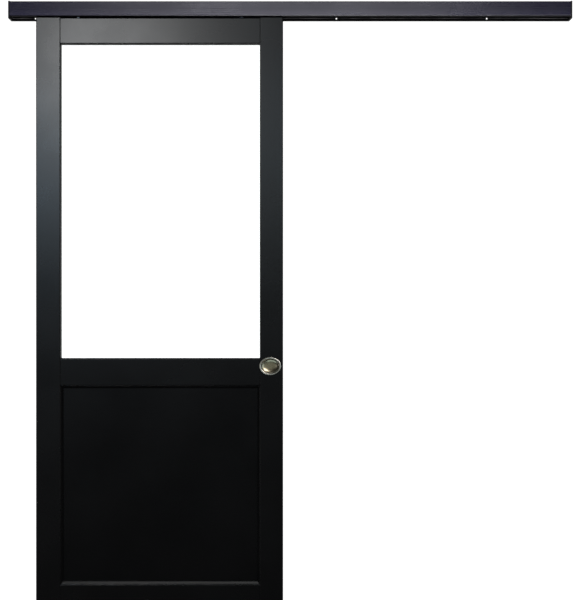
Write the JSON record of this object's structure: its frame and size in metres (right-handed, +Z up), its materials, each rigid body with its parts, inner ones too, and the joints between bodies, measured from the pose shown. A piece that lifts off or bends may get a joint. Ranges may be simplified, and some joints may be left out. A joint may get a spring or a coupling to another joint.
{
  "type": "sliding door set",
  "caption": "Wall-hung sliding door set: track behind a pelmet cover, half-glazed panelled leaf on two trolleys, end stops, floor guide and flush oval cup pulls.",
  "frame": {"origin": "middle of the row of four wall holes, on the wall face", "axes": "+X along the track to the right as seen from the room, +Y into the wall, +Z up"},
  "size_m": [1.892, 0.0655, 2.1035],
  "materials": {
    "black_lacquer": "satin",
    "black_panel": "satin",
    "anodised_cover": "satin",
    "dark_profile": "satin",
    "track_aluminium": "satin",
    "cap_plastic": "matte",
    "guide_plastic": "matte",
    "zinc_steel": "satin",
    "bolt_steel": "satin",
    "black_steel": "satin",
    "bearing_steel": "polished",
    "cast_zinc": "matte",
    "buffer_rubber": "matte",
    "black_tape": "matte",
    "wheel_nylon": "satin",
    "beech": "matte",
    "clear_glass": "polished",
    "satin_nickel": "satin"
  },
  "bodies": {
    "wall_assembly": {"wall_profile": "dark_profile", "track_rail": "track_aluminium", "rail_screws": "zinc_steel", "pelmet_cover": "anodised_cover", "end_cap_left": "cap_plastic", "end_cap_right": "cap_plastic", "end_cap_screws": "black_steel", "stop_left": "cast_zinc", "stop_right": "cast_zinc", "stop_buffer_left": "buffer_rubber", "stop_buffer_right": "buffer_rubber", "stop_clamp_plates": "zinc_steel", "stop_screws": "black_steel", "floor_guide": "guide_plastic"},
    "door": {"left_stile": "black_lacquer", "right_stile": "black_lacquer", "top_rail": "black_lacquer", "mid_rail": "black_lacquer", "bottom_rail": "black_lacquer", "lower_panel": "black_panel", "frame_dowels": "beech", "glass_pane": "clear_glass", "glazing_tape": "black_tape", "glazing_bead_top": "black_lacquer", "glazing_bead_bottom": "black_lacquer", "glazing_bead_left": "black_lacquer", "glazing_bead_right": "black_lacquer", "panel_bead_top": "black_lacquer", "panel_bead_bottom": "black_lacquer", "panel_bead_left": "black_lacquer", "panel_bead_right": "black_lacquer", "panel_beads_back": "black_lacquer", "hanger_plate_left": "zinc_steel", "hanger_plate_right": "zinc_steel", "hanger_plate_screws": "zinc_steel", "hanger_bolts": "bolt_steel", "lock_nuts": "bolt_steel", "trolley_left": "cast_zinc", "trolley_right": "cast_zinc", "wheel_axles": "bolt_steel", "guide_channel": "track_aluminium", "guide_channel_screws": "zinc_steel", "cup_pull_front": "satin_nickel", "cup_pull_back": "satin_nickel"},
    "left_wheel_1_body": {"left_wheel_1": "wheel_nylon", "left_bearing_1": "bearing_steel"},
    "left_wheel_2_body": {"left_wheel_2": "wheel_nylon", "left_bearing_2": "bearing_steel"},
    "left_wheel_3_body": {"left_wheel_3": "wheel_nylon", "left_bearing_3": "bearing_steel"},
    "left_wheel_4_body": {"left_wheel_4": "wheel_nylon", "left_bearing_4": "bearing_steel"},
    "right_wheel_1_body": {"right_wheel_1": "wheel_nylon", "right_bearing_1": "bearing_steel"},
    "right_wheel_2_body": {"right_wheel_2": "wheel_nylon", "right_bearing_2": "bearing_steel"},
    "right_wheel_3_body": {"right_wheel_3": "wheel_nylon", "right_bearing_3": "bearing_steel"},
    "right_wheel_4_body": {"right_wheel_4": "wheel_nylon", "right_bearing_4": "bearing_steel"}
  },
  "joints": [
    {"name": "door_slide", "type": "slide", "parent": "wall_assembly", "child": "door", "axis": [1, 0, 0], "range_m": [0, 0.78]},
    {"name": "left_wheel_1_spin", "type": "hinge", "parent": "door", "child": "left_wheel_1_body", "pos_m": [-0.6325, -0.0452, 0.0263], "axis": [0, 1, 0], "continuous": true},
    {"name": "left_wheel_2_spin", "type": "hinge", "parent": "door", "child": "left_wheel_2_body", "pos_m": [-0.6325, -0.0268, 0.0263], "axis": [0, 1, 0], "continuous": true},
    {"name": "left_wheel_3_spin", "type": "hinge", "parent": "door", "child": "left_wheel_3_body", "pos_m": [-0.5985, -0.0452, 0.0263], "axis": [0, 1, 0], "continuous": true},
    {"name": "left_wheel_4_spin", "type": "hinge", "parent": "door", "child": "left_wheel_4_body", "pos_m": [-0.5985, -0.0268, 0.0263], "axis": [0, 1, 0], "continuous": true},
    {"name": "right_wheel_1_spin", "type": "hinge", "parent": "door", "child": "right_wheel_1_body", "pos_m": [-0.0825, -0.0452, 0.0263], "axis": [0, 1, 0], "continuous": true},
    {"name": "right_wheel_2_spin", "type": "hinge", "parent": "door", "child": "right_wheel_2_body", "pos_m": [-0.0825, -0.0268, 0.0263], "axis": [0, 1, 0], "continuous": true},
    {"name": "right_wheel_3_spin", "type": "hinge", "parent": "door", "child": "right_wheel_3_body", "pos_m": [-0.0485, -0.0452, 0.0263], "axis": [0, 1, 0], "continuous": true},
    {"name": "right_wheel_4_spin", "type": "hinge", "parent": "door", "child": "right_wheel_4_body", "pos_m": [-0.0485, -0.0268, 0.0263], "axis": [0, 1, 0], "continuous": true}
  ],
  "couplings": [
    {"joint": "left_wheel_1_spin", "follows": "door_slide", "rad_per_m": 90.909},
    {"joint": "left_wheel_2_spin", "follows": "door_slide", "rad_per_m": 90.909},
    {"joint": "left_wheel_3_spin", "follows": "door_slide", "rad_per_m": 90.909},
    {"joint": "left_wheel_4_spin", "follows": "door_slide", "rad_per_m": 90.909},
    {"joint": "right_wheel_1_spin", "follows": "door_slide", "rad_per_m": 90.909},
    {"joint": "right_wheel_2_spin", "follows": "door_slide", "rad_per_m": 90.909},
    {"joint": "right_wheel_3_spin", "follows": "door_slide", "rad_per_m": 90.909},
    {"joint": "right_wheel_4_spin", "follows": "door_slide", "rad_per_m": 90.909}
  ]
}
